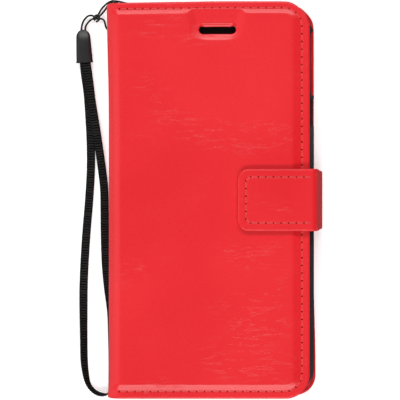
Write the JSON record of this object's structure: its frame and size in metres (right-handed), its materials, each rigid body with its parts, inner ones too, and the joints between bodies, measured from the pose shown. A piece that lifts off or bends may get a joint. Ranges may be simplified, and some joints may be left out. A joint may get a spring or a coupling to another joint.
{
  "type": "phone wallet case",
  "caption": "Book-style leather wallet case for a phone with a folding cover, moulded shell, card pockets, magnetic strap tab and wrist lanyard.",
  "frame": {"origin": "middle of the closed case's outline on the back cover's outer face, which the case lies on", "axes": "+Y towards the phone's top end, +Z out of the front cover, +X towards the free edge with the strap"},
  "size_m": [0.1002, 0.1645, 0.0194],
  "materials": {
    "red_leather": "glossy smooth coated leather with faint creases",
    "lining_leather": "satin coated leather",
    "red_thread": "twisted sewing thread",
    "stiffener": "matte grey board",
    "foam": "thin closed-cell foam",
    "adhesive": "double-sided adhesive pad",
    "shell_plastic": "satin black moulded plastic",
    "keeper_steel": "plain steel plate",
    "magnet": "nickel plated magnet",
    "lanyard_fabric": "black ribbed webbing and braided cord",
    "ferrule_plastic": "satin dark grey moulded plastic"
  },
  "bodies": {
    "back_cover": {"back_skin": "red_leather", "back_board": "stiffener", "back_lining": "lining_leather", "back_stitching": "red_thread", "shell_adhesive": "adhesive", "phone_shell": "shell_plastic", "strap_root": "red_leather", "lanyard_cord": "lanyard_fabric", "lanyard_ferrule": "ferrule_plastic", "lanyard_webbing": "lanyard_fabric"},
    "spine_lower": {"spine_skin_lower": "red_leather", "spine_lining_lower": "lining_leather"},
    "spine_middle": {"spine_skin_middle": "red_leather", "spine_lining_middle": "lining_leather"},
    "spine_upper": {"spine_skin_upper": "red_leather", "spine_lining_upper": "lining_leather"},
    "front_cover": {"front_skin": "red_leather", "front_padding": "foam", "front_board": "stiffener", "front_lining": "lining_leather", "keeper_plate": "keeper_steel", "front_stitching": "red_thread", "cash_pocket": "red_leather", "card_pocket_1": "red_leather", "card_pocket_2": "red_leather", "card_pocket_3": "red_leather", "pocket_stitching": "red_thread"},
    "strap_side": {"strap_side_skin": "red_leather", "strap_side_lining": "lining_leather"},
    "strap_tab": {"strap_tab_skin": "red_leather", "strap_tab_lining": "lining_leather", "strap_magnet": "magnet", "strap_tab_stitching": "red_thread"}
  },
  "joints": [
    {"name": "back_edge_fold", "type": "hinge", "parent": "back_cover", "child": "spine_lower", "pos_m": [-0.0384, 0, 0], "axis": [0, -1, 0], "range_deg": [0, 10]},
    {"name": "spine_lower_fold", "type": "hinge", "parent": "spine_lower", "child": "spine_middle", "pos_m": [-0.0432, 0, 0.0048], "axis": [0, -1, 0], "range_deg": [0, 55]},
    {"name": "spine_upper_fold", "type": "hinge", "parent": "spine_middle", "child": "spine_upper", "pos_m": [-0.0432, 0, 0.0116], "axis": [0, -1, 0], "range_deg": [0, 60]},
    {"name": "front_cover_fold", "type": "hinge", "parent": "spine_upper", "child": "front_cover", "pos_m": [-0.0384, 0, 0.0164], "axis": [0, -1, 0], "range_deg": [0, 55]},
    {"name": "strap_side_fold", "type": "hinge", "parent": "back_cover", "child": "strap_side", "pos_m": [0.0432, 0, 0.0009], "axis": [0, 1, 0], "range_deg": [0, 90]},
    {"name": "strap_tab_fold", "type": "hinge", "parent": "strap_side", "child": "strap_tab", "pos_m": [0.0432, 0, 0.0192], "axis": [0, 1, 0], "range_deg": [0, 90]}
  ],
  "couplings": [
    {"joint": "back_edge_fold", "follows": "front_cover_fold", "ratio": 0.18},
    {"joint": "spine_lower_fold", "follows": "front_cover_fold", "ratio": 1},
    {"joint": "spine_upper_fold", "follows": "front_cover_fold", "ratio": 1.09}
  ]
}
